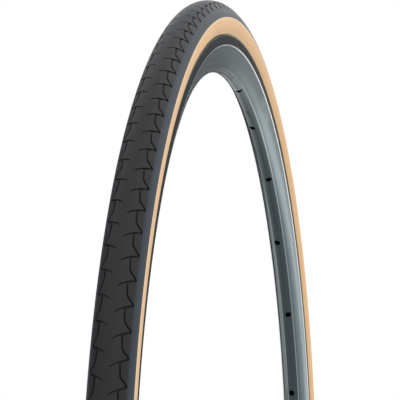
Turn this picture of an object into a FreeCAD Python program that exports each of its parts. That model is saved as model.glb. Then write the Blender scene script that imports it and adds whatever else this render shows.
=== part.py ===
"""Clincher bicycle tyre on its rim, with tube, tape and valve (700C x 25).

Millimetres. The wheel centre is the origin, +Y is the axle axis and +Z is up.
The valve stands at the bottom of the wheel and points up at the axle.
Left is +Y and right is -Y. Every ring is a section in the (radius, y) plane
turned about Y. Angles in a section start radially outward and grow towards +Y.
"""
import FreeCAD
import Part
import math
import os

V = FreeCAD.Vector

# ---- driving dimensions -------------------------------------------------
BEAD_SEAT_RADIUS = 311.0       # 622 mm bead seat diameter
SECTION_HEIGHT = 27.5          # bead seat to tread crown
TYRE_HALF_WIDTH = 12.2
RIM_HALF_WIDTH = 10.05
RIM_DEPTH = 22.8               # flange top to spoke bed
FLANGE_HEIGHT = 5.8            # flange top above the bead seat
FLANGE_WALL = 1.5
RIM_WALL = 1.4
SPOKE_COUNT = 28
NIPPLE_HOLE_RADIUS = 2.15
STEM_RADIUS = 3.0
VALVE_LENGTH = 40.0            # tube face to the end of the stem

# ---- tyre build-up ------------------------------------------------------
PLY = 0.3
BREAKER = 0.3
BREAKER_ANGLE = 34.0
SIDEWALL = 0.6                 # rubber outside the plies at the widest point
TREAD_CENTRE = 2.6             # rubber outside the plies at the crown
TREAD_EDGE_ANGLE = 76.5        # where the tread meets the tan sidewall
SKIVE_ANGLE = 8.0              # how far the sidewall tucks under the tread
BEAD_CORE_RADIUS = 0.9
TURN_UP = 1.3
CHAFER = 0.3
LEG_ANGLE = -75.0              # the casing leans inboard below the hook
HOOK_RADIUS = 1.0
TYRE_TO_RIM = 0.1

# ---- tube and tape ------------------------------------------------------
TUBE_WALL = 0.9
TAPE = 0.4
BOND_GAP = 0.05

# ---- rim section --------------------------------------------------------
WELL_DEPTH = 2.0
TRACK_HEIGHT = 6.15            # flat brake track, measured from the flange top
TRACK_STEP = 0.45
FLANGE_ROUND = 0.4
BED_RADIUS = 4.2               # rounding of the spoke bed
BED_WALL = 3.8                 # solid metal that the nipples pull against
SIDE_RADIUS = 34.0             # bulge of the rim's flanks
HOLE_STAGGER = 0.95            # nipple holes alternate left and right
ACCESS_HOLE_RADIUS = 3.6
SEAM = 0.15
SLEEVE_LENGTH = 60.0
SLEEVE_GAP = 0.1

# ---- valve --------------------------------------------------------------
STEM_FIT = 0.03
VALVE_HOLE_GAP = 0.3
STEM_FOOT_RADIUS = STEM_RADIUS + 1.4
STEM_FOOT = 0.8
PATCH_RING = 0.5               # rubber round the stem where it passes the tube's wall
CAP_THREAD_LENGTH = 9.0
CAP_THREAD_RADIUS = STEM_RADIUS - 0.4
CORE_RADIUS = STEM_RADIUS - 1.4
CORE_HEAD_RADIUS = CAP_THREAD_RADIUS - 0.3
CORE_HEAD = 3.5
CORE_DEPTH = 12.0
PIN_RADIUS = 0.25 * STEM_RADIUS
PIN_FIT = 0.05
PIN_ABOVE_NUT = 2.4
PIN_BELOW_CORE = 2.8
SEAL_RADIUS = CORE_RADIUS - 0.25
LOCK_NUT_RADIUS = CAP_THREAD_RADIUS - 0.4
LOCK_NUT_HEIGHT = 3.0
LOCK_NUT_LIFT = 0.05
RIM_NUT_RADIUS = 5.5
RIM_NUT_HEIGHT = 3.4
RIM_NUT_SEAT = 0.1             # clears the bed's curve under the nut's edge
CAP_RADIUS = CAP_THREAD_RADIUS + 0.8
CAP_HEADROOM = 2.0
CAP_ROOF = 2.0
CAP_SKIRT = 6.5                # how much of the stem thread the cap covers

BAND_ANGLE = 12.0             # widest bend of one face across a thin section

# ---- derived ------------------------------------------------------------
TYRE_OUTER_RADIUS = BEAD_SEAT_RADIUS + SECTION_HEIGHT
WIDEST_RADIUS = BEAD_SEAT_RADIUS + 0.469 * SECTION_HEIGHT
FLANGE_TOP = BEAD_SEAT_RADIUS + FLANGE_HEIGHT
FLANGE_INSIDE = RIM_HALF_WIDTH - FLANGE_WALL
BED_TOP = FLANGE_TOP - RIM_DEPTH
WELL_FLOOR = BEAD_SEAT_RADIUS - WELL_DEPTH
HOOK_CENTRE = (FLANGE_INSIDE, FLANGE_TOP - HOOK_RADIUS)

CROWN_OUT = TYRE_OUTER_RADIUS - WIDEST_RADIUS
CROWN_PLY = CROWN_OUT - TREAD_CENTRE
WIDTH_PLY = TYRE_HALF_WIDTH - SIDEWALL
HOOK_CLEAR = HOOK_RADIUS + TYRE_TO_RIM


def lower_wall():
    """Radius and centre offset of the wall arc that runs on round the hook."""
    reach = TYRE_HALF_WIDTH - HOOK_CENTRE[0]
    drop = WIDEST_RADIUS - HOOK_CENTRE[1]
    radius = (reach ** 2 + drop ** 2 - HOOK_CLEAR ** 2) / (2 * (reach + HOOK_CLEAR))
    angle = math.degrees(math.atan2(radius - reach, -drop))
    return TYRE_HALF_WIDTH - radius, angle


LOWER_CENTRE, LOWER_END = lower_wall()


# ---- section drawing ----------------------------------------------------
def point(y, radius):
    return V(radius, y, 0)


def polar(centre, radius, angle):
    a = math.radians(angle)
    return (centre[0] + radius * math.sin(a), centre[1] + radius * math.cos(a))


def line(a, b):
    return Part.makeLine(point(*a), point(*b))


def arc(centre, radius, start, end):
    ends = [polar(centre, radius, a) for a in (start, (start + end) / 2, end)]
    return Part.Arc(*[point(*p) for p in ends]).toShape()


def polyline(points):
    return [line(a, b) for a, b in zip(points, points[1:])]


def mirrored(edges):
    return [e.mirror(V(0, 0, 0), V(0, 1, 0)) for e in edges]


def face_of(edges):
    return Part.Face(Part.Wire(Part.__sortEdges__(edges)))


def ring(face):
    """Turn a section about the axle."""
    return face.revolve(V(0, 0, 0), V(0, 1, 0), 360)


def narrow_bands(edge):
    """Cut a long arc of a thin section into short ones of equal angle."""
    if not isinstance(edge.Curve, Part.Circle):
        return [edge]
    first, last = edge.ParameterRange
    count = math.ceil(math.degrees(last - first) / BAND_ANGLE)
    marks = [first + (last - first) * i / count for i in range(count + 1)]
    return [edge.Curve.toShape(a, b) for a, b in zip(marks, marks[1:])]


def thin_ring(edges):
    return ring(face_of([band for edge in edges for band in narrow_bands(edge)]))


class Wall:
    """One surface of the tyre wall: crown, shoulder, flank, hook bend, leg."""

    def __init__(self, crown, half_width):
        shift = (crown - half_width) / (2 - math.sqrt(2))
        inset = TYRE_HALF_WIDTH - half_width
        self.crown = ((0, WIDEST_RADIUS + shift), crown - shift)
        self.shoulder = ((-shift, WIDEST_RADIUS), half_width + shift)
        self.flank = ((LOWER_CENTRE, WIDEST_RADIUS), half_width - LOWER_CENTRE)
        self.hook = (HOOK_CENTRE, HOOK_CLEAR + inset)

    def top(self, start=0, end=45):
        return arc(*self.crown, start, end)

    def side(self, start=45, end=90):
        return arc(*self.shoulder, start, end)

    def lower(self):
        return arc(*self.flank, 90, LOWER_END)

    def bend(self, end=LEG_ANGLE):
        return arc(*self.hook, LOWER_END - 180, end)

    def leg_point(self, length):
        foot = polar(*self.hook, LEG_ANGLE)
        return polar(foot, length, LEG_ANGLE - 90)

    def leg(self, length):
        return line(self.leg_point(0), self.leg_point(length))


OUTER = Wall(CROWN_OUT, TYRE_HALF_WIDTH)
PLY_TOP = Wall(CROWN_PLY, WIDTH_PLY)
PLY_MID = Wall(CROWN_PLY - PLY, WIDTH_PLY - PLY)
PLY_BOTTOM = Wall(CROWN_PLY - 2 * PLY, WIDTH_PLY - 2 * PLY)
BREAKER_TOP = Wall(CROWN_PLY + BREAKER, WIDTH_PLY + BREAKER)


def bead_centre():
    """The core lies against the outboard face of the casing's leg."""
    height = BEAD_SEAT_RADIUS + TYRE_TO_RIM + CHAFER + PLY + BEAD_CORE_RADIUS
    start = polar(PLY_TOP.leg_point(0), BEAD_CORE_RADIUS, LEG_ANGLE + 180)
    length = (height - start[1]) / math.cos(math.radians(LEG_ANGLE - 90))
    return polar(start, length, LEG_ANGLE - 90), length


BEAD_CENTRE, LEG_LENGTH = bead_centre()


# ---- tyre ---------------------------------------------------------------
def wall_edges(wall):
    return [wall.top(), wall.side(), wall.lower(), wall.bend(), wall.leg(LEG_LENGTH)]


def make_ply_inner():
    edges = wall_edges(PLY_MID) + wall_edges(PLY_BOTTOM)
    edges.append(line(PLY_MID.leg_point(LEG_LENGTH), PLY_BOTTOM.leg_point(LEG_LENGTH)))
    return thin_ring(edges + mirrored(edges))


def make_ply_outer():
    """Runs bead to bead, passes under each core and turns up beside it."""
    inside = BEAD_CORE_RADIUS
    outside = inside + PLY
    y, radius = BEAD_CENTRE
    top = radius + TURN_UP
    edges = wall_edges(PLY_TOP) + wall_edges(PLY_MID)
    edges += [arc(BEAD_CENTRE, r, LEG_ANGLE, -270) for r in (inside, outside)]
    edges += polyline([(y + inside, radius), (y + inside, top),
                       (y + outside, top), (y + outside, radius)])
    return thin_ring(edges + mirrored(edges))


def make_breaker():
    low = PLY_TOP.top(-BREAKER_ANGLE, BREAKER_ANGLE)
    high = BREAKER_TOP.top(-BREAKER_ANGLE, BREAKER_ANGLE)
    end = line(polar(*PLY_TOP.crown, BREAKER_ANGLE), polar(*BREAKER_TOP.crown, BREAKER_ANGLE))
    return thin_ring([low, high, end] + mirrored([end]))


def skive():
    """The slanted joint between tread and sidewall rubber."""
    return line(polar(*PLY_TOP.shoulder, TREAD_EDGE_ANGLE - SKIVE_ANGLE),
                polar(*OUTER.shoulder, TREAD_EDGE_ANGLE))


def make_tread():
    step = line(polar(*PLY_TOP.crown, BREAKER_ANGLE), polar(*BREAKER_TOP.crown, BREAKER_ANGLE))
    half = [OUTER.top(), OUTER.side(45, TREAD_EDGE_ANGLE), skive(),
            PLY_TOP.side(45, TREAD_EDGE_ANGLE - SKIVE_ANGLE),
            PLY_TOP.top(BREAKER_ANGLE, 45), step, BREAKER_TOP.top(0, BREAKER_ANGLE)]
    return thin_ring(half + mirrored(half))


def make_sidewall():
    """Tan rubber from the tread joint down to the apex above the bead core."""
    y, radius = BEAD_CENTRE
    under_hook = -135.0
    inside = y + BEAD_CORE_RADIUS
    edges = [skive(), OUTER.side(TREAD_EDGE_ANGLE, 90), OUTER.lower(), OUTER.bend(under_hook)]
    edges += polyline([polar(*OUTER.hook, under_hook), (inside + PLY, chafer_top()),
                       (inside + PLY, radius + TURN_UP), (inside, radius + TURN_UP),
                       (inside, radius)])
    edges += [arc(BEAD_CENTRE, BEAD_CORE_RADIUS, 90, LEG_ANGLE), PLY_TOP.leg(LEG_LENGTH),
              PLY_TOP.bend(), PLY_TOP.lower(),
              PLY_TOP.side(TREAD_EDGE_ANGLE - SKIVE_ANGLE, 90)]
    return thin_ring(edges)


def chafer_top():
    return HOOK_CENTRE[1] - HOOK_RADIUS - 0.35


def make_chafer():
    inside = BEAD_CORE_RADIUS + PLY
    outside = inside + CHAFER
    y, radius = BEAD_CENTRE
    edges = [arc(BEAD_CENTRE, r, LEG_ANGLE, -270) for r in (inside, outside)]
    edges += polyline([(y + inside, radius), (y + inside, chafer_top()),
                       (y + outside, chafer_top()), (y + outside, radius)])
    edges.append(line(polar(BEAD_CENTRE, inside, LEG_ANGLE),
                      polar(BEAD_CENTRE, outside, LEG_ANGLE)))
    return thin_ring(edges)


def make_bead_core():
    return Part.makeTorus(BEAD_CENTRE[1], BEAD_CORE_RADIUS, V(0, BEAD_CENTRE[0], 0), V(0, 1, 0))


# ---- rim ----------------------------------------------------------------
SEAT_INSIDE = BEAD_CENTRE[0] - BEAD_CORE_RADIUS - 0.8
WELL_HALF = SEAT_INSIDE - 1.3
TRACK_BOTTOM = FLANGE_TOP - TRACK_HEIGHT
FLANK_TOP = (RIM_HALF_WIDTH - TRACK_STEP, TRACK_BOTTOM - TRACK_STEP)
BED_CENTRE = (0, BED_TOP + BED_RADIUS)


def flank_arc():
    """Centre of the flank's arc, tangent to the spoke bed's rounding."""
    dy = FLANK_TOP[0] - BED_CENTRE[0]
    dr = FLANK_TOP[1] - BED_CENTRE[1]
    span = math.hypot(dy, dr)
    inner = SIDE_RADIUS - BED_RADIUS
    along = (inner ** 2 - SIDE_RADIUS ** 2 + span ** 2) / (2 * span)
    across = math.sqrt(inner ** 2 - along ** 2)
    centre = (BED_CENTRE[0] + (along * dy - across * dr) / span,
              BED_CENTRE[1] + (along * dr + across * dy) / span)
    start = math.degrees(math.atan2(-centre[0], BED_CENTRE[1] - centre[1]))
    end = math.degrees(math.atan2(FLANK_TOP[0] - centre[0], FLANK_TOP[1] - centre[1]))
    return centre, start, end


FLANK_CENTRE, FLANK_START, FLANK_END = flank_arc()


def rim_outline():
    corner = (RIM_HALF_WIDTH - FLANGE_ROUND, FLANGE_TOP - FLANGE_ROUND)
    seat_corner = (FLANGE_INSIDE - FLANGE_ROUND, BEAD_SEAT_RADIUS + FLANGE_ROUND)
    half = [arc(BED_CENTRE, BED_RADIUS, 180, FLANK_START),
            arc(FLANK_CENTRE, SIDE_RADIUS, FLANK_START, FLANK_END),
            line(FLANK_TOP, (RIM_HALF_WIDTH, TRACK_BOTTOM)),
            line((RIM_HALF_WIDTH, TRACK_BOTTOM), (RIM_HALF_WIDTH, corner[1])),
            arc(corner, FLANGE_ROUND, 90, 0),
            line((corner[0], FLANGE_TOP), (FLANGE_INSIDE, FLANGE_TOP)),
            arc(HOOK_CENTRE, HOOK_RADIUS, 0, -180),
            line((FLANGE_INSIDE, HOOK_CENTRE[1] - HOOK_RADIUS), (FLANGE_INSIDE, seat_corner[1])),
            arc(seat_corner, FLANGE_ROUND, 90, 180)]
    half += polyline([(seat_corner[0], BEAD_SEAT_RADIUS), (SEAT_INSIDE, BEAD_SEAT_RADIUS),
                      (WELL_HALF, WELL_FLOOR), (0, WELL_FLOOR)])
    return half


def cavity_outline(gap=0.0):
    """The closed chamber between the spoke bed and the tyre well."""
    wall = RIM_WALL + gap
    floor = BED_TOP + BED_WALL + gap
    roof = BEAD_SEAT_RADIUS - wall
    radius = SIDE_RADIUS - wall
    tilts = [math.degrees(math.acos((r - FLANK_CENTRE[1]) / radius)) for r in (floor, roof)]
    low, high = [polar(FLANK_CENTRE, radius, tilt) for tilt in tilts]
    half = [line((0, floor), low), arc(FLANK_CENTRE, radius, *tilts)]
    half += polyline([high, (SEAT_INSIDE + 0.4, roof), (WELL_HALF + 0.4, WELL_FLOOR - wall),
                      (0, WELL_FLOOR - wall)])
    return half


def radial_hole(angle, offset, radius, inner, outer):
    a = math.radians(angle)
    out = V(math.cos(a), 0, math.sin(a))
    start = out * inner + V(0, offset, 0)
    return Part.makeCylinder(radius, outer - inner, start, out)


def spoke_angles():
    """Evenly spaced; the valve sits midway between the two lowest holes."""
    pitch = 360.0 / SPOKE_COUNT
    return [-90 + pitch * (k + 0.5) for k in range(SPOKE_COUNT)]


def make_rim():
    outline = rim_outline()
    cavity = cavity_outline()
    rim = ring(face_of(outline + mirrored(outline)))
    rim = rim.cut(ring(face_of(cavity + mirrored(cavity))))
    middle = BED_TOP + RIM_DEPTH / 2
    cutters = []
    for k, angle in enumerate(spoke_angles()):
        offset = -HOLE_STAGGER if k % 2 else HOLE_STAGGER
        cutters.append(radial_hole(angle, offset, NIPPLE_HOLE_RADIUS, BED_TOP - 1, middle))
        cutters.append(radial_hole(angle, offset, ACCESS_HOLE_RADIUS, middle, FLANGE_TOP))
    cutters.append(radial_hole(-90, 0, STEM_RADIUS + VALVE_HOLE_GAP, BED_TOP - 1, FLANGE_TOP))
    cutters.append(Part.makeBox(SEAM, 2 * RIM_HALF_WIDTH + 2, RIM_DEPTH + 2,
                                V(-SEAM / 2, -RIM_HALF_WIDTH - 1, BED_TOP - 1)))
    return rim.cut(Part.makeCompound(cutters))


def make_sleeve():
    """Solid plug bridging the butted ends of the rim at the top."""
    edges = cavity_outline(SLEEVE_GAP)
    sweep = math.degrees(SLEEVE_LENGTH / (BED_TOP + RIM_DEPTH / 2))
    plug = face_of(edges + mirrored(edges)).revolve(V(0, 0, 0), V(0, 1, 0), sweep)
    plug.rotate(V(0, 0, 0), V(0, 1, 0), -90 - sweep / 2)
    return plug


def make_tape():
    lip = BEAD_SEAT_RADIUS - 0.08
    half = polyline([(0, WELL_FLOOR), (WELL_HALF, WELL_FLOOR), (SEAT_INSIDE - 0.1, lip),
                     (SEAT_INSIDE - 0.45, lip + 0.2), (WELL_HALF - 0.25, WELL_FLOOR + TAPE),
                     (0, WELL_FLOOR + TAPE)])
    band = ring(face_of(half + mirrored(half)))
    return band.cut(radial_hole(-90, 0, STEM_RADIUS + VALVE_HOLE_GAP, WELL_FLOOR - 1, FLANGE_TOP))


# ---- tube and its valve base --------------------------------------------
TUBE_FLOOR = WELL_FLOOR + TAPE + BOND_GAP


def tube_outline(inset):
    depth = 2 * PLY + BOND_GAP + inset
    wall = Wall(CROWN_PLY - depth, WIDTH_PLY - depth)
    edges = wall_edges(wall)
    edges += polyline([wall.leg_point(LEG_LENGTH),
                       (SEAT_INSIDE - 0.6 - inset, BEAD_SEAT_RADIUS + 0.2 + 0.35 * inset),
                       (WELL_HALF - 0.4 - 0.55 * inset, TUBE_FLOOR + inset),
                       (0, TUBE_FLOOR + inset)])
    return edges


PATCH_PLUG_RADIUS = STEM_RADIUS + PATCH_RING
PATCH_RADIUS = 9.0
PATCH_HALF_WIDTH = 2.6
PATCH_LIP = 0.6
PATCH_TOP = TUBE_FLOOR + TUBE_WALL + PATCH_LIP


def make_tube():
    outer = tube_outline(0)
    inner = tube_outline(TUBE_WALL)
    tube = ring(face_of(outer + mirrored(outer))).cut(ring(face_of(inner + mirrored(inner))))
    return tube.cut(radial_hole(-90, 0, PATCH_PLUG_RADIUS, WELL_FLOOR, PATCH_TOP))


def band(inner, outer, half_width):
    corners = [(-half_width, inner), (half_width, inner), (half_width, outer),
               (-half_width, outer), (-half_width, inner)]
    return ring(face_of(polyline(corners)))


def make_patch():
    """Moulded rubber base: a plug in the tube's hole under a wider inside lip."""
    plug = band(TUBE_FLOOR, TUBE_FLOOR + TUBE_WALL, PATCH_PLUG_RADIUS)
    plug = plug.common(radial_hole(-90, 0, PATCH_PLUG_RADIUS, WELL_FLOOR, PATCH_TOP + 1))
    lip = band(TUBE_FLOOR + TUBE_WALL, PATCH_TOP, PATCH_HALF_WIDTH)
    lip = lip.common(radial_hole(-90, 0, PATCH_RADIUS, WELL_FLOOR, PATCH_TOP + 1))
    pad = plug.fuse(lip).removeSplitter()
    return pad.cut(radial_hole(-90, 0, STEM_RADIUS, WELL_FLOOR - 1, PATCH_TOP + 1))


# ---- valve: heights run along Z towards the axle --------------------------
STEM_FOOT_Z = -(PATCH_TOP + STEM_FOOT)
STEM_TOP_Z = -TUBE_FLOOR + VALVE_LENGTH
CORE_TOP_Z = STEM_TOP_Z + CORE_HEAD
CORE_BOTTOM_Z = STEM_TOP_Z - CORE_DEPTH
NUT_BOTTOM_Z = CORE_TOP_Z + LOCK_NUT_LIFT
NUT_TOP_Z = NUT_BOTTOM_Z + LOCK_NUT_HEIGHT
PIN_TOP_Z = NUT_TOP_Z + PIN_ABOVE_NUT
PIN_BOTTOM_Z = CORE_BOTTOM_Z - PIN_BELOW_CORE


def turned(profile):
    """Solid of revolution about Z from (radius, z) corners."""
    corners = [V(r, 0, z) for r, z in profile]
    face = Part.Face(Part.makePolygon(corners + corners[:1]))
    return face.revolve(V(0, 0, 0), V(0, 0, 1), 360)


def make_stem():
    """The foot is trimmed on two sides to lie on the tube's narrow floor."""
    bore = CORE_RADIUS + STEM_FIT
    shoulder = STEM_TOP_Z - CAP_THREAD_LENGTH
    chamfer = 0.3
    stem = turned([(bore, STEM_FOOT_Z), (STEM_FOOT_RADIUS, STEM_FOOT_Z),
                   (STEM_FOOT_RADIUS, -PATCH_TOP), (STEM_RADIUS, -PATCH_TOP),
                   (STEM_RADIUS, shoulder - chamfer), (CAP_THREAD_RADIUS, shoulder),
                   (CAP_THREAD_RADIUS, STEM_TOP_Z - chamfer),
                   (CAP_THREAD_RADIUS - chamfer, STEM_TOP_Z), (bore, STEM_TOP_Z)])
    half = STEM_RADIUS + 0.05
    keep = Part.makeBox(4 * half, 2 * half, STEM_TOP_Z - STEM_FOOT_Z,
                        V(-2 * half, -half, STEM_FOOT_Z))
    return stem.common(keep)


def make_core():
    """Turned body with two wrench flats on the head outside the stem."""
    bore = PIN_RADIUS + PIN_FIT
    body = turned([(bore, CORE_BOTTOM_Z), (CORE_RADIUS, CORE_BOTTOM_Z),
                   (CORE_RADIUS, STEM_TOP_Z), (CORE_HEAD_RADIUS, STEM_TOP_Z),
                   (CORE_HEAD_RADIUS, CORE_TOP_Z - 0.3), (CORE_HEAD_RADIUS - 0.3, CORE_TOP_Z),
                   (bore, CORE_TOP_Z)])
    flat = CORE_HEAD_RADIUS * 0.83
    for side in (-1, 1):
        slab = Part.makeBox(2, 6, CORE_HEAD - 1, V(-1, -3, STEM_TOP_Z + 0.5))
        slab.translate(V(side * (flat + 1), 0, 0))
        body = body.cut(slab)
    return body


def make_pin():
    tip = 0.25
    return turned([(0, PIN_BOTTOM_Z), (PIN_RADIUS, PIN_BOTTOM_Z), (PIN_RADIUS, PIN_TOP_Z - tip),
                   (PIN_RADIUS - tip, PIN_TOP_Z), (0, PIN_TOP_Z)])


def make_seal():
    """Rubber washer on the pin that closes the lower end of the core."""
    low = PIN_BOTTOM_Z + 0.6
    top = (PIN_RADIUS + SEAL_RADIUS) / 2
    return turned([(PIN_RADIUS, low), (SEAL_RADIUS, low), (SEAL_RADIUS, CORE_BOTTOM_Z - 0.9),
                   (top, CORE_BOTTOM_Z - 0.02), (PIN_RADIUS, CORE_BOTTOM_Z - 0.02)])


def knurled(body, radius, bottom, height, count, depth):
    """Cut straight grip flutes round a turned body."""
    cutters = []
    for k in range(count):
        a = 2 * math.pi * k / count
        place = V(math.cos(a), math.sin(a), 0) * (radius + depth * 0.4)
        cutters.append(Part.makeCylinder(depth * 1.4, height, V(place.x, place.y, bottom)))
    return body.cut(Part.makeCompound(cutters))


def make_lock_nut():
    bore = PIN_RADIUS + PIN_FIT
    neck = 0.8
    body = turned([(bore, NUT_BOTTOM_Z), (LOCK_NUT_RADIUS - 0.4, NUT_BOTTOM_Z),
                   (LOCK_NUT_RADIUS, NUT_BOTTOM_Z + 0.4), (LOCK_NUT_RADIUS, NUT_TOP_Z - neck),
                   (LOCK_NUT_RADIUS - 0.7, NUT_TOP_Z), (bore, NUT_TOP_Z)])
    grip = LOCK_NUT_HEIGHT - neck - 0.4
    return knurled(body, LOCK_NUT_RADIUS, NUT_BOTTOM_Z + 0.4, grip, 16, 0.2)


def make_rim_nut():
    low = -BED_TOP + RIM_NUT_SEAT
    high = low + RIM_NUT_HEIGHT
    bore = STEM_RADIUS + STEM_FIT
    collar = RIM_NUT_HEIGHT * 0.55
    body = turned([(bore, low), (RIM_NUT_RADIUS - 0.4, low), (RIM_NUT_RADIUS, low + 0.4),
                   (RIM_NUT_RADIUS, low + collar), (RIM_NUT_RADIUS - 1.2, high),
                   (bore, high)])
    return knurled(body, RIM_NUT_RADIUS, low, collar, 24, 0.3)


def make_cap():
    skirt = STEM_TOP_Z - CAP_SKIRT
    roof = PIN_TOP_Z + CAP_HEADROOM
    bore = CAP_THREAD_RADIUS + STEM_FIT
    dome = 1.2
    body = turned([(bore, skirt), (CAP_RADIUS, skirt), (CAP_RADIUS, STEM_TOP_Z + 1),
                   (CAP_RADIUS - 0.3, roof), (CAP_RADIUS - dome, roof + CAP_ROOF),
                   (0, roof + CAP_ROOF), (0, roof), (bore, roof)])
    return knurled(body, CAP_RADIUS, skirt, STEM_TOP_Z + 1 - skirt, 14, 0.2)


# ---- write the nodes ------------------------------------------------------
def left_and_right(name, left):
    right = left.mirror(V(0, 0, 0), V(0, 1, 0))
    return {name + "_left": left, name + "_right": right}


def all_nodes():
    nodes = {
        "tread": make_tread(),
        "breaker_strip": make_breaker(),
        "casing_ply_outer": make_ply_outer(),
        "casing_ply_inner": make_ply_inner(),
        "inner_tube": make_tube(),
        "valve_patch": make_patch(),
        "rim": make_rim(),
        "rim_joint_sleeve": make_sleeve(),
        "rim_tape": make_tape(),
        "valve_stem": make_stem(),
        "rim_nut": make_rim_nut(),
        "valve_core": make_core(),
        "core_pin": make_pin(),
        "core_seal": make_seal(),
        "lock_nut": make_lock_nut(),
        "valve_cap": make_cap(),
    }
    nodes.update(left_and_right("sidewall", make_sidewall()))
    nodes.update(left_and_right("chafer", make_chafer()))
    nodes.update(left_and_right("bead_core", make_bead_core()))
    return nodes


os.makedirs("parts", exist_ok=True)
for name, shape in all_nodes().items():
    shape.exportStep("parts/" + name + ".step")
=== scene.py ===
"""Looks for the mounted bicycle tyre: siped tread, tan sidewalls, anodised rim, valve."""
import math

import bpy
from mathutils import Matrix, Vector
from mathutils.geometry import delaunay_2d_cdt


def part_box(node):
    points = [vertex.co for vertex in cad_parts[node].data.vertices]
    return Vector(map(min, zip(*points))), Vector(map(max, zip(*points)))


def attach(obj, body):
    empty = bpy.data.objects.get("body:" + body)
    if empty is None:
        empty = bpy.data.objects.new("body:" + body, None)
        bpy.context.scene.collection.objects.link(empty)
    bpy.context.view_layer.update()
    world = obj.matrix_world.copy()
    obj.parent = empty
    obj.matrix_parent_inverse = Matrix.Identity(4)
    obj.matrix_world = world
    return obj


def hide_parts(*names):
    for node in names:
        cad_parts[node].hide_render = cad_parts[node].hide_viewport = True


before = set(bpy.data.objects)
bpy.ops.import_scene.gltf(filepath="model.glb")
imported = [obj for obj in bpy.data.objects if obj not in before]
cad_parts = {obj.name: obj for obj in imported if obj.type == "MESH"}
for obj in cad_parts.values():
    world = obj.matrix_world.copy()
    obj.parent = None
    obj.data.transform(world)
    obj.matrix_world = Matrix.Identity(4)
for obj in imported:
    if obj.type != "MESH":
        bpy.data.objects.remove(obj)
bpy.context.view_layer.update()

MM = 0.001

# ---- sizes read from the frame, in metres ---------------------------------
TYRE_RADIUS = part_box("tread")[1].z
TYRE_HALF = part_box("sidewall_left")[1].y
FLANGE_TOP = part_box("rim")[1].z
RIM_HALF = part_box("rim")[1].y
BEAD_SEAT = 311.0 * MM
SECTION = TYRE_RADIUS - BEAD_SEAT
WIDEST_SHARE = 0.469               # of the section height, at the tyre's widest point
WIDEST = BEAD_SEAT + WIDEST_SHARE * SECTION
FLANGE_WALL = 1.5 * MM
HOOK_RADIUS = 1.0 * MM
TRACK_HEIGHT = 6.3 * MM
CREASE = FLANGE_TOP - TRACK_HEIGHT # lower edge of the brake tracks
JOINT_GLINT_LENGTH = 28.5 * MM                # how far the painted reflection runs along the bed beside the rim's joint
TYRE_TO_RIM = 0.1 * MM
TREAD_CENTRE = 2.6 * MM
SIDEWALL = 0.6 * MM
TREAD_EDGE = math.radians(76.5)    # where tread and sidewall meet, from the crown
LEG_ANGLE = math.radians(-75)      # lean of the sidewall below the hook
PITCHES = 152                      # tread blocks round the tyre
STEPS = 4                          # columns in one block
RING = PITCHES * STEPS


# ---- camera and light -----------------------------------------------------
CAMERA_PLACE = (-1.1979, -0.2170, 0.0675)
CAMERA_TARGET = (-0.09623, 0.0, 0.20406)
CAMERA_LENS = 171.3
SENSOR_WIDTH = 36.0
ROOM_BASE = 0.04                   # brightness of the room's dark side
ROOM = (("Y", 0.0, -0.35, 0.42),   # axis, where the rise starts, where it ends, rise
        ("X", 0.1, -0.5, 0.38),
        ("Z", 0.28, 0.7, 0.85))
FLOOR_HALF = 9.0
FLOOR_GAP = 0.0002                 # keeps the floor off the tyre


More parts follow.
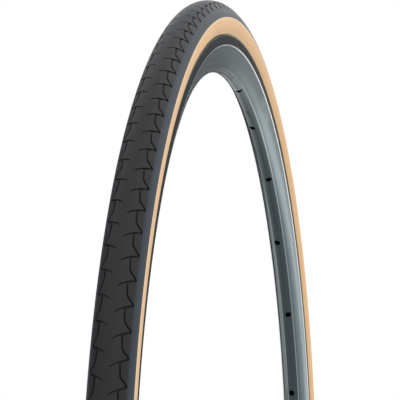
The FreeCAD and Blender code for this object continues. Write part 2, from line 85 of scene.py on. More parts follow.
# ---- materials --------------------------------------------------------------
class Shader:
    """A small helper round one Principled material."""

    def __init__(self, name, **sockets):
        self.material = bpy.data.materials.new(name)
        self.material.use_nodes = True
        self.tree = self.material.node_tree
        self.bsdf = self.tree.nodes["Principled BSDF"]
        for key, value in sockets.items():
            self.bsdf.inputs[key.replace("_", " ")].default_value = value
        coords = self.node("ShaderNodeTexCoord")
        self.object = coords.outputs["Object"]
        self.last_bump = None

    def node(self, kind, **settings):
        made = self.tree.nodes.new(kind)
        for key, value in settings.items():
            setattr(made, key, value)
        return made

    def link(self, source, target):
        self.tree.links.new(source, target)

    def feed(self, sockets, values):
        """Give each socket its number, or link it to the output that feeds it."""
        for socket, value in zip(sockets, values):
            if isinstance(value, (int, float)):
                socket.default_value = value
            else:
                self.link(value, socket)

    def math(self, operation, a, b=0.0):
        made = self.node("ShaderNodeMath", operation=operation)
        self.feed(made.inputs, (a, b))
        return made.outputs[0]

    def times(self, a, b):
        return self.math("MULTIPLY", a, b)

    def xyz(self):
        split = self.node("ShaderNodeSeparateXYZ")
        self.link(self.object, split.inputs[0])
        return split.outputs

    def ring(self):
        """(distance round the wheel, y, radius): its seam is beside the valve."""
        x, y, z = self.xyz()
        square = self.math("ADD", self.times(x, x), self.times(z, z))
        radius = self.math("SQRT", square)
        around = self.times(self.math("ARCTAN2", x, z), TYRE_RADIUS)
        return around, y, radius

    def vector(self, x, y, z):
        made = self.node("ShaderNodeCombineXYZ")
        self.feed(made.inputs, (x, y, z))
        return made.outputs[0]

    def noise(self, scale, vector=None, detail=3.0, roughness=0.5):
        made = self.node("ShaderNodeTexNoise")
        made.inputs["Scale"].default_value = scale
        made.inputs["Detail"].default_value = detail
        made.inputs["Roughness"].default_value = roughness
        self.link(vector or self.object, made.inputs["Vector"])
        return made.outputs["Fac"]

    def wave(self, scale, vector, distortion=0.0):
        """Bands along the vector's x."""
        made = self.node("ShaderNodeTexWave", bands_direction="X")
        made.inputs["Scale"].default_value = scale
        made.inputs["Distortion"].default_value = distortion
        self.link(vector, made.inputs["Vector"])
        return made.outputs["Fac"]

    def step(self, value, low, high, invert=False):
        """0 to 1 as value goes from low to high."""
        made = self.node("ShaderNodeMapRange", interpolation_type="SMOOTHSTEP")
        made.inputs["From Min"].default_value = low
        made.inputs["From Max"].default_value = high
        if invert:
            made.inputs["To Min"].default_value = 1.0
            made.inputs["To Max"].default_value = 0.0
        self.link(value, made.inputs["Value"])
        return made.outputs["Result"]

    def mix(self, factor, a, b):
        """Blend from a to b, each a colour or a colour socket."""
        made = self.node("ShaderNodeMix", data_type="RGBA")
        sockets = {s.name: s for s in made.inputs if s.enabled}
        for key, value in (("Factor", factor), ("A", a), ("B", b)):
            if isinstance(value, tuple):
                sockets[key].default_value = (*value, 1.0)
            elif isinstance(value, (int, float)):
                sockets[key].default_value = value
            else:
                self.link(value, sockets[key])
        return [s for s in made.outputs if s.enabled][0]

    def colour(self, socket):
        self.link(socket, self.bsdf.inputs["Base Color"])

    def rough(self, value, low, high):
        """Roughness from low to high as value goes from 0 to 1."""
        made = self.node("ShaderNodeMapRange")
        made.inputs["To Min"].default_value = low
        made.inputs["To Max"].default_value = high
        self.link(value, made.inputs["Value"])
        self.link(made.outputs["Result"], self.bsdf.inputs["Roughness"])

    def bump(self, height, distance, strength=1.0):
        """Bumps stack: each new one is laid over those before it."""
        made = self.node("ShaderNodeBump")
        made.inputs["Distance"].default_value = distance
        made.inputs["Strength"].default_value = strength
        self.link(height, made.inputs["Height"])
        if self.last_bump:
            self.link(self.last_bump, made.inputs["Normal"])
        self.last_bump = made.outputs["Normal"]
        self.link(self.last_bump, self.bsdf.inputs["Normal"])


SHOULDER_SHEEN = (8.6 * MM, 10.4 * MM)     # from the mid plane: the band of painted bluish sheen on the tread's shoulders


def tread_rubber():
    """Black compound: satin, a little dusty, with painted shade darkening the grooves and a
    painted bluish sheen on the shoulder strips.
    """
    s = Shader("tread_rubber", Sheen_Weight=0.06, Sheen_Roughness=0.4,
               Sheen_Tint=(0.62, 0.74, 0.90, 1.0), Specular_IOR_Level=0.17)
    around, y, radius = s.ring()
    place = s.vector(around, y, radius)
    dust = s.noise(90.0, place, 4.0)
    fine = s.noise(1400.0, place, 2.0)
    groove = s.node("ShaderNodeAttribute", attribute_name="groove").outputs["Fac"]
    tone = s.mix(dust, (0.021, 0.0195, 0.0195), (0.030, 0.028, 0.0285))
    tone = s.mix(s.times(fine, 0.3), tone, (0.040, 0.038, 0.040))
    # painted sheen: the shoulder strips are lightened to bluish grey, standing in for the
    # softbox they reflect
    sheen_strip = s.step(s.math("ABSOLUTE", y), *SHOULDER_SHEEN)
    tone = s.mix(s.times(sheen_strip, 0.75), tone, (0.056, 0.072, 0.090))
    # painted shade: the groove floors are coloured darker than the tread
    s.colour(s.mix(groove, tone, (0.009, 0.0085, 0.0085)))
    patchy = s.math("ADD", s.times(dust, 0.6), s.times(fine, 0.4))
    s.rough(patchy, 0.34, 0.52)
    s.bump(fine, 0.00004)
    s.bump(s.wave(420.0, s.vector(y, around, radius)), 0.000012)
    return s.material


CORD_LEAN = 1.4                    # how far round the cords go for each unit outward
CORD_SCALE = 330.0
PALE_BY_RIM = (0.7 * MM, 2.6 * MM)         # above the flange
PALE_BY_TREAD = (1.6 * MM, 3.9 * MM)       # above the widest point


def tan_rubber():
    """Thin tan rubber through which the crossed cotton cords show."""
    s = Shader("tan_sidewall", Sheen_Weight=0.15, Sheen_Roughness=0.5, Specular_IOR_Level=0.35)
    around, y, radius = s.ring()
    up = s.times(radius, CORD_LEAN)
    ahead = s.vector(s.math("ADD", around, up), 0.0, 0.0)
    behind = s.vector(s.math("SUBTRACT", around, up), 0.0, 0.0)
    left = s.wave(CORD_SCALE, ahead, distortion=0.6)
    right = s.wave(CORD_SCALE, behind, distortion=0.6)
    weave = s.times(s.math("ADD", left, right), 0.5)
    cloud = s.noise(38.0, s.vector(around, y, radius), 5.0, 0.6)
    tone = s.mix(cloud, (0.87, 0.475, 0.200), (0.95, 0.570, 0.270))
    tone = s.mix(s.times(weave, 0.35), tone, (0.95, 0.67, 0.38))
    near_rim = s.step(radius, *(FLANGE_TOP + d for d in PALE_BY_RIM), invert=True)
    near_tread = s.step(radius, *(WIDEST + d for d in PALE_BY_TREAD))
    pale = s.times(s.math("MAXIMUM", near_rim, near_tread), 0.55)
    s.colour(s.mix(pale, tone, (0.95, 0.77, 0.54)))
    s.rough(cloud, 0.5, 0.72)
    s.bump(weave, 0.00005, 0.7)
    s.bump(s.noise(1800.0, None, 2.0), 0.00003, 0.6)
    return s.material


# Places on the rim, from the mid plane, from the top of the rim's joint or from the crease
FACE = (RIM_HALF - 0.12 * MM, RIM_HALF - 0.03 * MM)
# the nose is painted shade; the bed line and the crease lines are painted highlights
NOSE_SHADE = (3.2 * MM, 6.4 * MM)
BED_GLINT = ((3.5 * MM, 3.8 * MM), (4.1 * MM, 4.4 * MM))
BED_EDGE = (4.2 * MM, 5.0 * MM)
JOINT_SIDE = (0.0, 3.0 * MM)
# where the painted reflection beside the joint ends, and where its painted highlight line lies
JOINT_GLINT_END = (JOINT_GLINT_LENGTH - 0.2 * MM, JOINT_GLINT_LENGTH)
GLINT_LINE = ((JOINT_GLINT_LENGTH, JOINT_GLINT_LENGTH + 0.2 * MM), (JOINT_GLINT_LENGTH + 1.0 * MM, JOINT_GLINT_LENGTH + 1.3 * MM))
CREASE_FOOT = (CREASE - 0.5 * MM, CREASE - 0.25 * MM)
CREASE_HEAD = (CREASE + 0.2 * MM, CREASE + 0.4 * MM)
CREASE_SIDE = (RIM_HALF - 0.9 * MM, RIM_HALF - 0.7 * MM)


def painted_joint_glint(s, side, tone):
    """Painted reflection: the spoke bed beside the rim's joint is coloured paler, and ends in a
    fine painted highlight line.
    """
    x, _, z = s.xyz()
    bed = s.times(s.step(side, *BED_EDGE, invert=True), s.step(z, 0.0, 0.01))
    # painted reflection: the bed beside the joint is coloured paler
    joint_glint = s.times(s.step(x, *JOINT_SIDE), s.step(x, *JOINT_GLINT_END, invert=True))
    tone = s.mix(s.times(s.times(joint_glint, bed), 0.75), tone, (0.15, 0.18, 0.19))
    # painted highlight: a fine pale line where that patch ends
    scratch = s.times(s.step(x, *GLINT_LINE[0]), s.step(x, *GLINT_LINE[1], invert=True))
    return s.mix(s.times(scratch, bed), tone, (0.36, 0.40, 0.41))


def painted_crease_glint(s, side, radius):
    """1 on the painted highlight: a near-white band along the edge below the brake track."""
    above = s.step(radius, *CREASE_FOOT)
    below = s.step(radius, *CREASE_HEAD, invert=True)
    return s.times(s.times(above, below), s.step(side, *CREASE_SIDE))


def rim_alloy():
    """Grey anodised alloy: brushed round the hoop, with machined brake tracks. Painted shade
    colours the brake tracks and the spoke bed's nose near black; painted highlights run along
    the bed's edge and the crease, and a painted reflection lies beside the joint.
    """
    s = Shader("rim_alloy", Anisotropic=0.2, Specular_IOR_Level=0.04)
    around, y, radius = s.ring()
    hair = s.noise(900.0, s.vector(s.times(around, 0.012), y, radius), 3.0)
    broad = s.noise(26.0, s.vector(around, y, radius), 4.0)
    side = s.math("ABSOLUTE", y)
    on_face = s.step(side, *FACE)
    tone = s.mix(broad, (0.155, 0.198, 0.204), (0.195, 0.24, 0.246))
    tone = s.mix(s.times(hair, 0.12), tone, (0.26, 0.31, 0.32))
    # painted shade: the spoke bed's nose is coloured near black, standing in for the dark room
    # it reflects
    nose_shade = s.step(side, *NOSE_SHADE, invert=True)
    tone = s.mix(s.times(nose_shade, 0.85), tone, (0.042, 0.053, 0.058))
    # painted highlight: a pale line along the edge of the spoke bed
    line = s.times(s.step(side, *BED_GLINT[0]), s.step(side, *BED_GLINT[1], invert=True))
    tone = s.mix(s.times(line, 0.7), tone, (0.36, 0.41, 0.42))
    # painted reflection and painted highlight beside the rim's joint
    tone = painted_joint_glint(s, side, tone)
    # painted shade: the brake track faces are coloured near black, standing in for the dark room
    # they reflect
    tone = s.mix(on_face, tone, (0.010, 0.016, 0.018))
    # painted highlight: a near-white band along the crease below the brake tracks
    crease = painted_crease_glint(s, side, radius)
    s.colour(s.mix(crease, tone, (0.95, 0.98, 1.0)))
    bare = s.step(on_face, 0.2, 0.9, invert=True)
    s.link(s.math("MAXIMUM", crease, bare), s.bsdf.inputs["Metallic"])
    s.rough(hair, 0.235, 0.275)
    rings = s.wave(900.0, s.vector(radius, 0.0, 0.0))
    s.bump(s.times(rings, on_face), 0.00002, 0.8)
    s.bump(hair, 0.000003, 0.4)
    return s.material


def cloth(name, dark, light, scale):
    """Rubberised fabric with threads at two crossed angles."""
    s = Shader(name, Sheen_Weight=0.3)
    around, y, radius = s.ring()
    across = s.math("ADD", y, radius)
    left = s.wave(scale, s.vector(s.math("ADD", around, across), 0.0, 0.0))
    right = s.wave(scale, s.vector(s.math("SUBTRACT", around, across), 0.0, 0.0))
    weave = s.math("MAXIMUM", left, right)
    cloud = s.noise(60.0, None, 4.0)
    tone = s.mix(weave, dark, light)
    s.colour(s.mix(s.times(cloud, 0.3), tone, dark))
    s.rough(cloud, 0.7, 0.9)
    s.bump(weave, 0.00008)
    return s.material


def plain_metal(name, dark, light, rough):
    """Turned or drawn metal with fine scratches and a soft tarnish."""
    s = Shader(name, Metallic=1.0)
    x, y, z = s.xyz()
    scratch = s.noise(900.0, s.vector(s.times(x, 0.2), s.times(y, 0.2), z), 3.0)
    tarnish = s.noise(140.0, None, 4.0)
    tone = s.mix(tarnish, dark, light)
    s.colour(s.mix(s.times(scratch, 0.25), tone, light))
    s.rough(scratch, *rough)
    s.bump(scratch, 0.00001, 0.6)
    return s.material


def soft_rubber(name, dark, light, talc):
    """Moulded rubber, dusted with pale talc where talc is above zero."""
    s = Shader(name, Specular_IOR_Level=0.4)
    cloud = s.noise(70.0, None, 5.0, 0.6)
    fine = s.noise(1500.0, None, 2.0)
    tone = s.mix(cloud, dark, light)
    s.colour(s.mix(s.times(fine, talc), tone, (0.45, 0.45, 0.45)))
    s.rough(cloud, 0.5, 0.75)
    s.bump(fine, 0.00003)
    return s.material


def cap_plastic():
    """Black moulded plastic with a faint orange-peel skin."""
    s = Shader("cap_plastic", Specular_IOR_Level=0.5)
    fine = s.noise(2200.0, None, 2.0)
    cloud = s.noise(200.0, None, 3.0)
    s.colour(s.mix(cloud, (0.014, 0.014, 0.016), (0.028, 0.028, 0.031)))
    s.rough(cloud, 0.32, 0.5)
    s.bump(fine, 0.00002)
    return s.material


# ---- mesh helpers -------------------------------------------------------------
def mesh_object(name, verts, faces, material, sharp):
    """Smooth-shaded mesh; edges that turn more than sharp degrees stay crisp."""
    data = bpy.data.meshes.new(name)
    data.from_pydata(verts, [], faces)
    data.validate()
    data.materials.append(material)
    for polygon in data.polygons:
        polygon.use_smooth = True
    data.set_sharp_from_angle(angle=math.radians(sharp))
    made = bpy.data.objects.new(name, data)
    bpy.context.scene.collection.objects.link(made)
    return made


def around_wheel(angle, y, radius):
    """Place on the wheel; angle 0 is +X and a quarter turn is the top."""
    return (radius * math.cos(angle), y, radius * math.sin(angle))


def grid_faces(rows, columns):
    """Quads of a grid of points that closes on itself both ways."""
    faces = []
    for k in range(rows):
        a, b = k * columns, (k + 1) % rows * columns
        for j in range(columns):
            n = (j + 1) % columns
            faces.append((a + j, a + n, b + n, b + j))
    return faces


def lathe_ring(name, section, material):
    """Turn a closed (y, radius) section about the axle."""
    verts = []
    for k in range(RING):
        angle = 2 * math.pi * k / RING
        verts += [around_wheel(angle, y, radius) for y, radius in section]
    return mesh_object(name, verts, grid_faces(RING, len(section)), material, sharp=45.0)


# ---- tyre section ---------------------------------------------------------------
def arc_point(centre, radius, angle):
    """(y, radius, normal y, normal radius) on an arc; angle 0 is outward."""
    ny, nr = math.sin(angle), math.cos(angle)
    return (centre[0] + radius * ny, centre[1] + radius * nr, ny, nr)


def arch(crown, half_width):
    """Crown and shoulder arcs, tangent at 45 degrees."""
    shift = (crown - half_width) / (2 - math.sqrt(2))
    return ((0.0, WIDEST + shift), crown - shift), ((-shift, WIDEST), half_width + shift)


OUTER_CROWN, OUTER_SHOULDER = arch(TYRE_RADIUS - WIDEST, TYRE_HALF)
PLY_CROWN, PLY_SHOULDER = arch(TYRE_RADIUS - WIDEST - TREAD_CENTRE, TYRE_HALF - SIDEWALL)
CROWN_LENGTH = OUTER_CROWN[1] * math.pi / 4
TREAD_HALF_LENGTH = CROWN_LENGTH + OUTER_SHOULDER[1] * (TREAD_EDGE - math.pi / 4)


def tread_point(length):
    """Outer tread surface, at a distance along the section from the crown."""
    if length < CROWN_LENGTH:
        return arc_point(*OUTER_CROWN, length / OUTER_CROWN[1])
    return arc_point(*OUTER_SHOULDER, math.pi / 4 + (length - CROWN_LENGTH) / OUTER_SHOULDER[1])


SKIVE = 8.0                        # degrees from the tread's edge to its inner corner
UNDER_STEP = 4.5                   # degrees between points of the inner face's shoulder


# ---- tread pattern ----------------------------------------------------------------
# In mm along the tyre and across it from the crown. A zigzag groove runs from block to
# block through BEND, POINT_OF_V and JOINT, and a thin sipe leaves it at JOINT.
PITCH = 2 * math.pi * TYRE_RADIUS / PITCHES / MM     # length of one block
LINK_LEVEL = 6.5                   # where the groove crosses from one block to the next
BEND = (3.6, 6.8)
POINT_OF_V = (7.3, 11.6)
JOINT = (9.75, 6.15)
SIPE = [(10.5, 4.5), (11.4, 2.8), (12.6, 1.1)]
GROOVE_HALF = 0.55
SIPE_HALF = 0.38
GROOVE_DEPTH = 0.6
WALL_SLOPE = 0.12                  # how far each wall leans in at the groove's floor
CORNER_CUT = 0.22                  # share of each side that a rounded corner takes
GRID_ROWS = [0.0, 1.1, 2.3, 3.5, 4.7, 5.9, 7.1, 8.3, 9.6, 10.8, 12.2, 13.8, 15.5]
INNER_GAP = 0.6                    # grid points keep this far from a groove's edge
SIDE_GAP = 0.25                    # and those on the block's sides this far
OUTLINE_SPACING = 0.5


def offset_line(points, distance):
    """Shift a line sideways with mitred corners; its ends move straight up."""
    out = []
    for i, (x, y) in enumerate(points):
        if i in (0, len(points) - 1):
            out.append((x, y - distance))
            continue
        before, after = points[i - 1], points[i + 1]
        normals = []
        for a, b in ((before, (x, y)), ((x, y), after)):
            dx, dy = b[0] - a[0], b[1] - a[1]
            size = math.hypot(dx, dy)
            normals.append((dy / size, -dx / size))
        nx = normals[0][0] + normals[1][0]
        ny = normals[0][1] + normals[1][1]
        scale = 2 * distance / (nx * nx + ny * ny)
        out.append((x + nx * scale, y + ny * scale))
    return out


def rounded(points):
    """Cut each inner corner once."""
    out = [points[0]]
    for i in range(1, len(points) - 1):
        for other in (points[i - 1], points[i + 1]):
            out.append(tuple((1 - CORNER_CUT) * c + CORNER_CUT * o
                             for c, o in zip(points[i], other)))
    out.append(points[-1])
    return out


def groove_lines(narrower):
    """Upper and lower edge of the zigzag groove and its long sipe, over one block."""
    half = GROOVE_HALF - narrower
    thin = SIPE_HALF - narrower * 0.8
    centre = [(0.0, LINK_LEVEL), BEND, POINT_OF_V, JOINT, (PITCH, LINK_LEVEL)]
    upper = offset_line(centre, half)
    lower = offset_line(centre, -half)
    left = [(x - thin, y + 0.1 * thin) for x, y in SIPE[:-1]]
    right = [(x + thin, y + 0.6 * thin) for x, y in SIPE[:-1]]
    tip = (SIPE[-1][0] - 0.3 * narrower, SIPE[-1][1] + narrower)
    tips = [(tip[0] - 0.8 * thin, tip[1] + 0.3), tip, (tip[0] + 0.5 * thin, tip[1] + 0.4)]
    mouth = upper[3]
    other = (mouth[0] + 2 * thin + 0.14, mouth[1] + 0.03)
    upper = upper[:3] + [mouth] + left + tips + right[::-1] + [other] + upper[4:]
    return rounded(upper), rounded(lower)


def clear_of(point, lines, gap):
    """Whether a point is more than the gap from every point of the lines."""
    return all(math.hypot(point[0] - x, point[1] - y) > gap for line in lines for x, y in line)


def dense(line):
    """The line with points added so that they lie close together."""
    out = []
    for (x0, y0), (x1, y1) in zip(line, line[1:]):
        count = max(1, int(math.hypot(x1 - x0, y1 - y0) / OUTLINE_SPACING))
        out += [(x0 + (x1 - x0) * i / count, y0 + (y1 - y0) * i / count) for i in range(count)]
    return out + [line[-1]]


def between(point, upper, lower):
    """Whether a point lies inside the groove outline, by crossing count."""
    ring = upper + lower[::-1]
    inside = False
    x, y = point
    for (x0, y0), (x1, y1) in zip(ring, ring[1:] + ring[:1]):
        if (y0 > y) != (y1 > y) and x < (x1 - x0) * (y - y0) / (y1 - y0) + x0:
            inside = not inside
    return inside


def block_mesh():
    """One block of the half tread: (along, across, depth) points in mm, and triangles."""
    edge = TREAD_HALF_LENGTH / MM
    upper, lower = groove_lines(0.0)
    floor_upper, floor_lower = groove_lines(WALL_SLOPE)
    points, depths, edges = [], [], []

    def add_line(line, depth):
        start = len(points)
        points.extend(line)
        depths.extend([depth] * len(line))
        edges.extend((start + i, start + i + 1) for i in range(len(line) - 1))

    add_line(upper, 0.0)
    add_line(lower, 0.0)
    add_line(floor_upper, GROOVE_DEPTH)
    add_line(floor_lower, GROOVE_DEPTH)
    outline = [dense(upper), dense(lower)]
    for row in GRID_ROWS + [edge]:
        for k in range(STEPS + 1):
            x = PITCH * k / STEPS
            on_side = k in (0, STEPS)
            on_end = row in (0.0, edge)
            if not on_end and between((x, row), upper, lower):
                continue
            gap = SIDE_GAP if on_side else INNER_GAP
            if on_end or clear_of((x, row), outline, gap):
                points.append((x, row))
                depths.append(0.0)
    made = delaunay_2d_cdt([Vector(p) for p in points], edges, [], 0, 1e-5)
    verts, _, faces, origins = made[:4]
    found = []
    for vert, origin in zip(verts, origins):
        depth = depths[origin[0]] if origin else 0.0
        found.append((vert.x, vert.y, depth))
    return found, [tuple(f) for f in faces]


def under_tread():
    """(y, radius) points of the tread's inner face, from its left edge to its right."""
    points = [arc_point(*PLY_SHOULDER, TREAD_EDGE - math.radians(SKIVE + UNDER_STEP * i))
              for i in range(5)]
    points += [arc_point(*PLY_CROWN, math.radians(a)) for a in (36, 24, 12, 0)]
    left = [(y, radius) for y, radius, _, _ in points]
    return left + [(-y, radius) for y, radius in left[-2::-1]]


class TreadMesh:
    """The tread's vertices and faces; a vertex asked for twice is made once."""

    def __init__(self):
        self.verts, self.faces, self.depths = [], [], []
        self.index = {}

    def vertex(self, key, place, depth):
        if key not in self.index:
            self.index[key] = len(self.verts)
            self.verts.append(place)
            self.depths.append(depth)
        return self.index[key]

    def outer_vertex(self, side, step, point):
        """A block's point on the outer surface, its block moved on by so many columns."""
        x, across, depth = point
        along = (step * PITCH / STEPS + x) % (PITCH * PITCHES)
        y, radius, ny, nr = tread_point(across * MM)
        y, radius = y - ny * depth * MM, radius - nr * depth * MM
        place = around_wheel(along * MM / TYRE_RADIUS, side * y, radius)
        key = (round(along * 100) % round(PITCH * PITCHES * 100), round(side * across * 1000),
               depth > 0)
        return self.vertex(key, place, depth)

    def add_outer(self, side, shift):
        """One shoulder's blocks, all moved on by a shift in columns."""
        block, triangles = block_mesh()
        for k in range(PITCHES):
            step = k * STEPS + shift
            for triangle in triangles:
                corners = [self.outer_vertex(side, step, block[i]) for i in triangle]
                if len(set(corners)) == 3:
                    self.faces.append(corners if side > 0 else corners[::-1])

    def under_column(self, step, section):
        """Vertices of the inner face at one step, with both edges of the outer one."""
        edge = TREAD_HALF_LENGTH / MM
        angle = 2 * math.pi * step / RING
        column = [self.outer_vertex(1, step, (0.0, edge, 0.0))]
        column += [self.vertex(("under", step, j), around_wheel(angle, y, radius), 0.0)
                   for j, (y, radius) in enumerate(section)]
        column.append(self.outer_vertex(-1, step, (0.0, edge, 0.0)))
        return column

    def add_under(self):
        section = under_tread()
        for k in range(RING):
            here = self.under_column(k, section)
            there = self.under_column((k + 1) % RING, section)
            for j in range(len(here) - 1):
                self.faces.append((here[j], here[j + 1], there[j + 1], there[j]))


def make_tread(material):
    """Both shoulders carry the groove; the left one is half a block ahead."""
    mesh = TreadMesh()
    mesh.add_outer(-1, 0)
    mesh.add_outer(1, STEPS // 2)
    mesh.add_under()
    tread = mesh_object("tread_rubber_band", mesh.verts, mesh.faces, material, sharp=38.0)
    groove = tread.data.attributes.new("groove", "FLOAT", "POINT")
    groove.data.foreach_set("value", [d / GROOVE_DEPTH for d in mesh.depths])
    return tread


# ---- sidewalls -----------------------------------------------------------------------
RIDGES = [math.radians(a) for a in (133.0, 137.5)]   # fine moulded lines
RIDGE_HEIGHT = 0.22 * MM
RIDGE_WIDTH = math.radians(1.1)


def flank():
    """The wall's lower arc and its end angle, then the bend over the hook."""
    hook = (RIM_HALF - FLANGE_WALL, FLANGE_TOP - HOOK_RADIUS)
    clear = HOOK_RADIUS + TYRE_TO_RIM
    reach, drop = TYRE_HALF - hook[0], WIDEST - hook[1]
    radius = (reach ** 2 + drop ** 2 - clear ** 2) / (2 * (reach + clear))
    return (TYRE_HALF - radius, WIDEST), radius, math.atan2(radius - reach, -drop), hook, clear


def ridge_height(angle):
    """How far the moulded lines stand out at an angle of the lower arc."""
    return sum(RIDGE_HEIGHT * math.exp(-((angle - line) / RIDGE_WIDTH) ** 2) for line in RIDGES)


def sidewall_section():
    """Closed section: outer skin with two fine moulded lines, then back along the plies."""
    centre, radius, end, hook, clear = flank()
    tops = [TREAD_EDGE + (math.pi / 2 - TREAD_EDGE) * i / 5 for i in range(5)]
    outer = [arc_point(*OUTER_SHOULDER, a)[:2] for a in tops]
    angles = [math.radians(90 + 4 * i) for i in range(10)]
    angles += [math.radians(128 + 0.55 * i) for i in range(28)]
    angles = [a for a in angles if a < end]
    outer += [arc_point(centre, radius + ridge_height(a), a)[:2] for a in angles]
    bends = [end - math.pi + (LEG_ANGLE - end + math.pi) * i / 6 for i in range(7)]
    outer += [arc_point(hook, clear, a)[:2] for a in bends]
    inner = [arc_point(hook, clear + SIDEWALL, a)[:2] for a in bends[::-1]]
    inner += [arc_point(centre, radius - SIDEWALL, math.radians(a))[:2]
              for a in (145, 135, 120, 105, 90)]
    inner += [arc_point(*PLY_SHOULDER, math.radians(a))[:2] for a in (80, 68.5)]
    return outer + inner


def make_sidewall(name, side, material):
    section = [(side * y, radius) for y, radius in sidewall_section()]
    if side > 0:
        section.reverse()
    return lathe_ring(name, section, material)


# ---- valve ---------------------------------------------------------------------------
STEM_RADIUS = 3.0 * MM
STEM_BORE = 1.63 * MM
FOOT_RADIUS, FOOT = 4.4 * MM, 0.8 * MM
FOOT_HALF_WIDTH = 3.05 * MM
CAP_THREAD = 2.6 * MM
CAP_THREAD_LENGTH = 9.0 * MM
STEM_THREAD = (0.8 * MM, 0.18 * MM)        # pitch, depth
CAP_END_THREAD = (1.06 * MM, 0.2 * MM)
NO_THREAD = (1.0, 0.0)
THREAD_GAP = 0.4 * MM              # plain slope between the two threads
TIP_BEVEL = 0.3 * MM
ROUND = 36                         # points round the stem
THREAD_ROW = 0.1 * MM


def thread_rows(low, high, crest, thread):
    """(z, crest radius, pitch, depth) rows fine enough to carry the helix."""
    count = round((high - low) / THREAD_ROW)
    return [(low + (high - low) * i / count, crest, *thread) for i in range(count + 1)]


def stem_rows():
    """Rows of the stem's skin from the foot's bore, up the outside to the tip's bore."""
    low, high = (corner.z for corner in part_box("valve_stem"))
    shoulder = high - CAP_THREAD_LENGTH
    plain = [(low, STEM_BORE), (low, FOOT_RADIUS), (low + FOOT, FOOT_RADIUS),
             (low + FOOT, STEM_RADIUS), (low + 3 * FOOT, STEM_RADIUS)]
    rows = [(z, radius, *NO_THREAD) for z, radius in plain]
    rows += thread_rows(low + 4 * FOOT, shoulder - THREAD_GAP, STEM_RADIUS, STEM_THREAD)
    rows += thread_rows(shoulder, high - TIP_BEVEL, CAP_THREAD, CAP_END_THREAD)
    tip = [(high, CAP_THREAD - TIP_BEVEL), (high, STEM_BORE)]
    return rows + [(z, radius, *NO_THREAD) for z, radius in tip]


def make_valve_stem(material):
    """Hollow stem with a helical thread on its body and one under the cap; a flatted foot."""
    rows = stem_rows()
    verts = []
    for z, crest, pitch, depth in rows:
        for k in range(ROUND):
            turn = k / ROUND
            radius = crest - depth * abs(2 * ((z / pitch - turn) % 1.0) - 1)
            x, y = (radius * f(2 * math.pi * turn) for f in (math.cos, math.sin))
            verts.append((x, max(-FOOT_HALF_WIDTH, min(FOOT_HALF_WIDTH, y)), z))
    faces = grid_faces(len(rows), ROUND)
    return mesh_object("threaded_valve_stem", verts, faces, material, sharp=35.0)


# ---- build -----------------------------------------------------------------------------
def dress(node, material):
    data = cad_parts[node].data
    data.materials.clear()
    data.materials.append(material)


def place(piece, node, slot):
    """Put a detailed piece on the wheel in place of its plain node."""
    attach(piece, "wheel")
    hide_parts(node)


def build_tyre():
    tan = tan_rubber()
    place(make_tread(tread_rubber()), "tread", "tread_rubber")
    for name, side in (("left", 1), ("right", -1)):
        wall = make_sidewall("sidewall_skin_" + name, side, tan)
        place(wall, "sidewall_" + name, "tan_sidewall")


def dress_frame(nickel):
    """Materials for the nodes that keep their own shape."""
    casing = cloth("casing_cloth", (0.42, 0.33, 0.22), (0.66, 0.56, 0.42), 420.0)
    chafer = cloth("chafer_cloth", (0.02, 0.02, 0.02), (0.07, 0.07, 0.07), 500.0)
    wire = plain_metal("bead_wire", (0.34, 0.27, 0.18), (0.60, 0.50, 0.36), (0.3, 0.5))
    tube = soft_rubber("tube_rubber", (0.03, 0.03, 0.032), (0.06, 0.06, 0.064), 0.25)
    brass = plain_metal("pin_metal", (0.50, 0.36, 0.15), (0.74, 0.60, 0.34), (0.2, 0.36))
    sleeve = plain_metal("sleeve_alloy", (0.45, 0.45, 0.46), (0.66, 0.66, 0.67), (0.35, 0.5))
    tape = cloth("tape_nylon", (0.03, 0.07, 0.22), (0.10, 0.20, 0.48), 700.0)
    breaker = cloth("breaker_cloth", (0.10, 0.09, 0.08), (0.28, 0.26, 0.23), 600.0)
    seal = soft_rubber("seal_rubber", (0.012, 0.012, 0.012), (0.03, 0.03, 0.03), 0.0)
    looks = {
        "rim": rim_alloy(),
        "rim_joint_sleeve": sleeve,
        "rim_tape": tape,
        "breaker_strip": breaker,
        "casing_ply_inner": casing,
        "casing_ply_outer": casing,
        "chafer_left": chafer,
        "chafer_right": chafer,
        "bead_core_left": wire,
        "bead_core_right": wire,
        "inner_tube": tube,
        "valve_patch": tube,
        "rim_nut": nickel,
        "valve_core": nickel,
        "core_pin": brass,
        "lock_nut": brass,
        "core_seal": seal,
        "valve_cap": cap_plastic(),
    }
    for node, material in looks.items():
        dress(node, material)


# ---- studio ------------------------------------------------------------------------------
def aim(thing, target):
    thing.rotation_mode = "QUATERNION"
    direction = Vector(target) - thing.location
    thing.rotation_quaternion = direction.to_track_quat("-Z", "Y")


def add_camera():
    data = bpy.data.cameras.new("camera")
    data.sensor_width = SENSOR_WIDTH
    data.lens = CAMERA_LENS
    camera = bpy.data.objects.new("camera", data)
    camera.location = CAMERA_PLACE
    aim(camera, CAMERA_TARGET)
    bpy.context.scene.collection.objects.link(camera)
    bpy.context.scene.camera = camera


def add_area(name, location, target, size, power):
    data = bpy.data.lights.new(name, "AREA")
    data.shape = "RECTANGLE"
    data.size, data.size_y = size
    data.energy = power
    light = bpy.data.objects.new(name, data)
    light.location = location
    aim(light, target)
    bpy.context.scene.collection.objects.link(light)


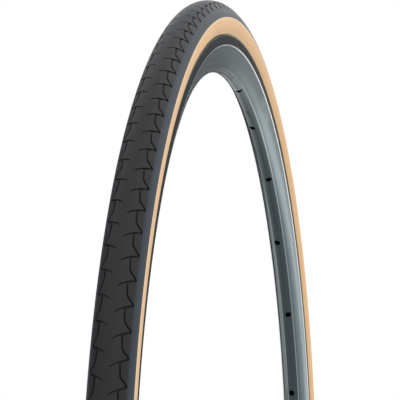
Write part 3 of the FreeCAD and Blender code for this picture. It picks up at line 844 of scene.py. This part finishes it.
def add_world():
    """White seen directly; for light and reflections, a room brighter above, to -X and to -Y."""
    world = bpy.data.worlds.new("studio")
    bpy.context.scene.world = world
    world.use_nodes = True
    tree = world.node_tree
    tree.nodes.clear()
    out = tree.nodes.new("ShaderNodeOutputWorld")
    mix = tree.nodes.new("ShaderNodeMixShader")
    path = tree.nodes.new("ShaderNodeLightPath")
    white = tree.nodes.new("ShaderNodeBackground")
    room = tree.nodes.new("ShaderNodeBackground")
    coords = tree.nodes.new("ShaderNodeTexCoord")
    split = tree.nodes.new("ShaderNodeSeparateXYZ")
    tree.links.new(coords.outputs["Generated"], split.inputs[0])
    total = None
    for axis, low, high, strength in ROOM:
        ramp = tree.nodes.new("ShaderNodeMapRange")
        ramp.interpolation_type = "SMOOTHSTEP"
        ramp.inputs["From Min"].default_value = low
        ramp.inputs["From Max"].default_value = high
        ramp.inputs["To Max"].default_value = strength
        tree.links.new(split.outputs[axis], ramp.inputs["Value"])
        add = tree.nodes.new("ShaderNodeMath")
        add.inputs[1].default_value = ROOM_BASE
        tree.links.new(ramp.outputs["Result"], add.inputs[0])
        if total:
            tree.links.new(total, add.inputs[1])
        total = add.outputs[0]
    tree.links.new(total, room.inputs["Strength"])
    room.inputs["Color"].default_value = (0.96, 0.985, 1.0, 1.0)
    white.inputs["Color"].default_value = (1.0, 1.0, 1.0, 1.0)
    tree.links.new(path.outputs["Is Camera Ray"], mix.inputs["Fac"])
    tree.links.new(room.outputs[0], mix.inputs[1])
    tree.links.new(white.outputs[0], mix.inputs[2])
    tree.links.new(mix.outputs[0], out.inputs["Surface"])


def add_floor():
    half, level = FLOOR_HALF, -TYRE_RADIUS - FLOOR_GAP
    signs = ((-1, -1), (1, -1), (1, 1), (-1, 1))
    corners = [(x * half, y * half, level) for x, y in signs]
    s = Shader("studio_floor")
    grain = s.noise(4.0, None, 3.0)
    s.colour(s.mix(grain, (0.78, 0.78, 0.78), (0.82, 0.82, 0.82)))
    s.rough(grain, 0.6, 0.7)
    floor = mesh_object("studio_floor", corners, [(0, 1, 2, 3)], s.material, sharp=32.0)


def add_studio():
    bpy.context.scene.view_settings.view_transform = "Standard"
    add_camera()
    add_world()
    add_floor()
    add_area("back_box", (1.85, -1.25, 0.3), (0.2, 0.0, 0.1), (0.40, 2.2), 4.0)
    add_area("rear_top_box", (2.1, 0.35, 1.25), (0.0, 0.0, 0.3), (1.6, 0.7), 5.0)


valve_metal = plain_metal("valve_metal", (0.50, 0.48, 0.43), (0.72, 0.70, 0.65), (0.18, 0.34))
build_tyre()
place(make_valve_stem(valve_metal), "valve_stem", "valve_metal")
dress_frame(valve_metal)
add_studio()
